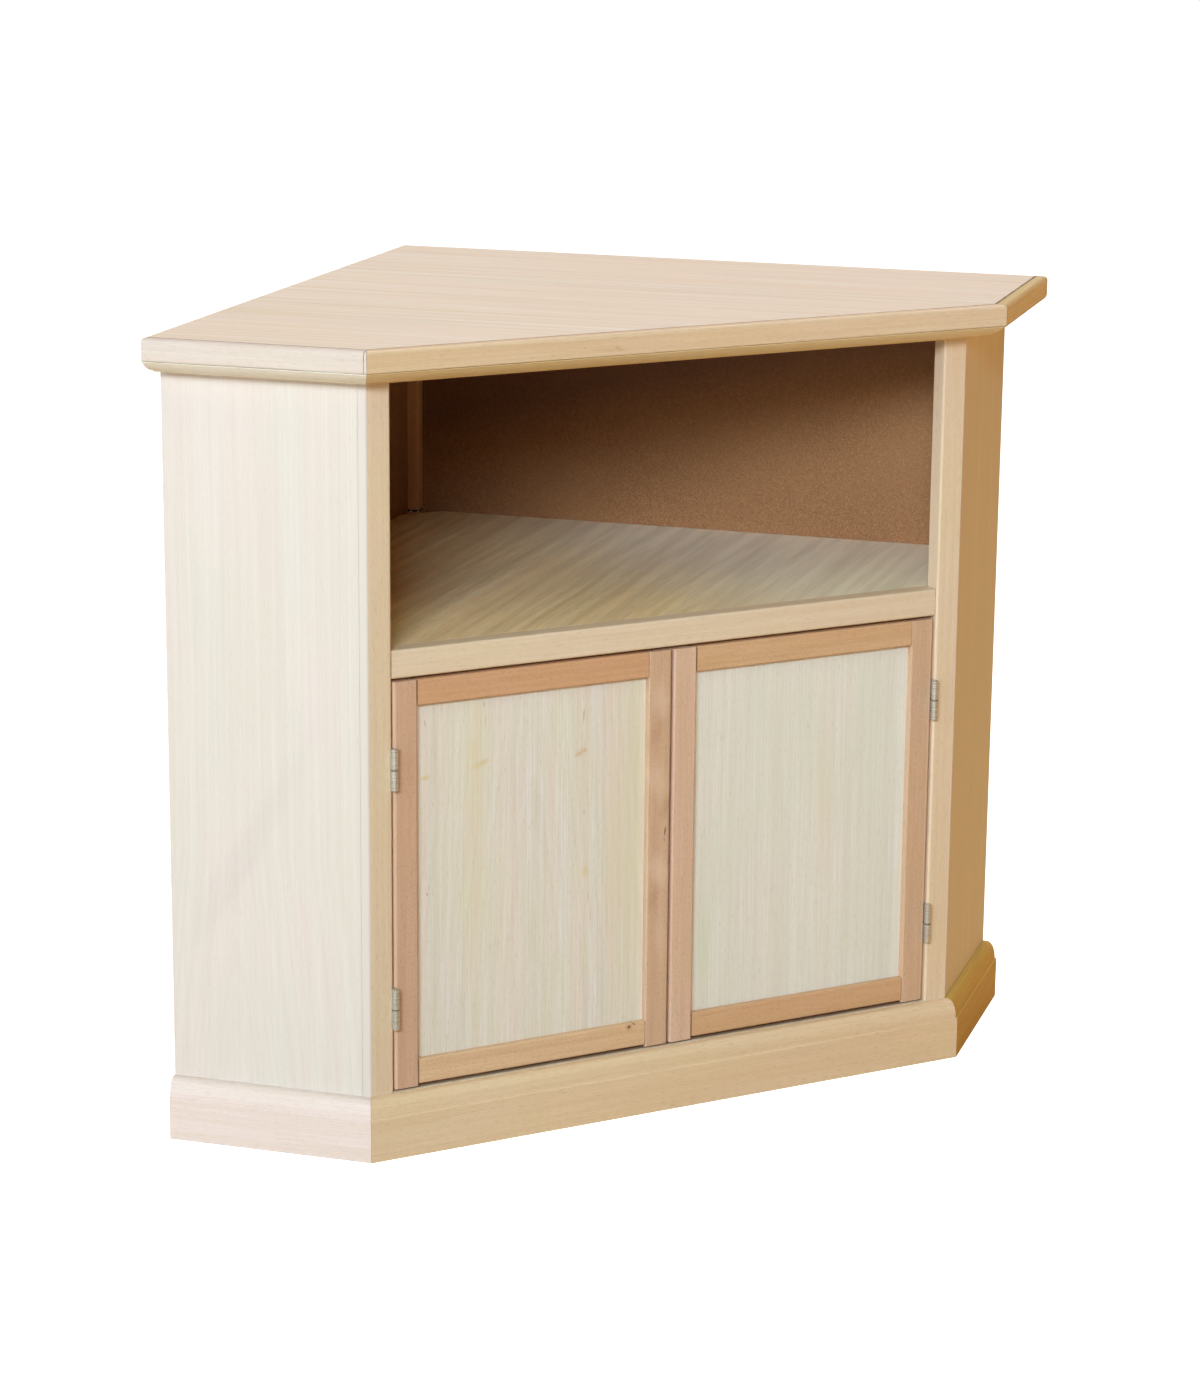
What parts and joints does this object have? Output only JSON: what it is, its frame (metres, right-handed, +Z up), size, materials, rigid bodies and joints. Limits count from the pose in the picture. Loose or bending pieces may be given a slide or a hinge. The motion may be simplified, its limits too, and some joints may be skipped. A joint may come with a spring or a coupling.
{
  "type": "corner tv cabinet",
  "caption": "Five-sided timber cabinet for a room corner: open bay over a cupboard with framed doors on lift-off hinges, moulded top edge and plinth.",
  "frame": {"origin": "centre of the bounding box on the floor, under the middle of the cabinet", "axes": "+X to the right as seen from the front, +Y from the doors towards the room corner, +Z up"},
  "size_m": [0.9794, 0.642, 0.771],
  "materials": {
    "top_veneer": "unfinished pale oak veneer, fine straight grain along the width",
    "edging": "solid pale timber, sanded, unfinished",
    "side_veneer": "unfinished cream veneer, upright grain",
    "solid_timber": "solid pale timber, sanded, unfinished",
    "shelf_veneer": "unfinished veneer, inside surface",
    "door_frame": "solid pinkish timber, sanded, unfinished",
    "door_panel": "unfinished veneered panel, upright grain",
    "hardboard": "brown pressed board with a smooth face",
    "batten": "sawn softwood",
    "hinge_zinc": "satin zinc-plated steel",
    "strike_steel": "bright zinc-plated steel",
    "catch_case": "white moulded plastic"
  },
  "bodies": {
    "carcass": {"top_board": "top_veneer", "top_edging_left": "edging", "top_edging_front": "edging", "top_edging_right": "edging", "cornice_left": "edging", "cornice_front": "edging", "cornice_right": "edging", "side_panel_left": "side_veneer", "side_panel_right": "side_veneer", "front_stile_left": "solid_timber", "front_stile_right": "solid_timber", "corner_post": "batten", "back_panel_left": "hardboard", "back_panel_right": "hardboard", "shelf_board": "shelf_veneer", "shelf_front_rail": "solid_timber", "floor_board": "shelf_veneer", "top_cleat_left": "batten", "top_cleat_right": "batten", "shelf_cleat_left": "batten", "shelf_cleat_right": "batten", "floor_cleat_left": "batten", "floor_cleat_right": "batten", "plinth_left": "solid_timber", "plinth_front": "solid_timber", "plinth_right": "solid_timber", "plinth_block_left": "batten", "plinth_block_right": "batten", "hinge_left_upper_frame_leaf": "hinge_zinc", "hinge_left_lower_frame_leaf": "hinge_zinc", "hinge_right_upper_frame_leaf": "hinge_zinc", "hinge_right_lower_frame_leaf": "hinge_zinc", "magnet_catch_left": "catch_case", "magnet_catch_right": "catch_case"},
    "door_left": {"door_left_outer_stile": "door_frame", "door_left_inner_stile": "door_frame", "door_left_top_rail": "door_frame", "door_left_bottom_rail": "door_frame", "door_left_panel": "door_panel", "hinge_left_upper_door_leaf": "hinge_zinc", "hinge_left_lower_door_leaf": "hinge_zinc", "strike_plate_left": "strike_steel"},
    "door_right": {"door_right_outer_stile": "door_frame", "door_right_inner_stile": "door_frame", "door_right_top_rail": "door_frame", "door_right_bottom_rail": "door_frame", "door_right_panel": "door_panel", "hinge_right_upper_door_leaf": "hinge_zinc", "hinge_right_lower_door_leaf": "hinge_zinc", "strike_plate_right": "strike_steel"}
  },
  "joints": [
    {"name": "door_left_hinge", "type": "hinge", "parent": "carcass", "child": "door_left", "pos_m": [-0.29445, -0.282, 0.259], "axis": [0, 0, -1], "range_deg": [0, 190]},
    {"name": "door_right_hinge", "type": "hinge", "parent": "carcass", "child": "door_right", "pos_m": [0.29445, -0.282, 0.259], "axis": [0, 0, 1], "range_deg": [0, 190]}
  ]
}
